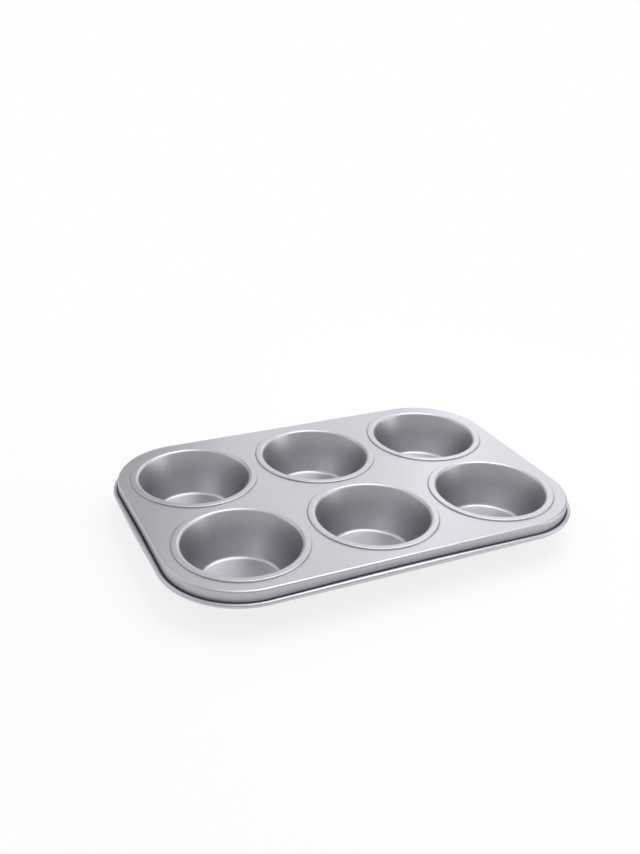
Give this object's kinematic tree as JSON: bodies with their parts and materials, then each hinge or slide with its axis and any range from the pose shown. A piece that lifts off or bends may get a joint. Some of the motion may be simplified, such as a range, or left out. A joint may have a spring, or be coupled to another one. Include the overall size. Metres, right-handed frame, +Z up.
{
  "type": "muffin tin",
  "caption": "Rectangular pressed sheet muffin tin with rounded corners, tapered round cups with raised collars, and a turned-down rim rolled into a hollow bead.",
  "frame": {"origin": "under the middle of the tin, on the plane that the undersides of the cups stand on", "axes": "+X along the long side, towards its right end as the picture shows it; +Y across, towards the back row of cups; +Z up out of the cups"},
  "size_m": [0.2722, 0.1856, 0.0286],
  "materials": {
    "coated_steel": "satin metallic silver-grey non-stick coating"
  },
  "bodies": {
    "root": {"muffin_tin": "coated_steel"}
  },
  "joints": []
}
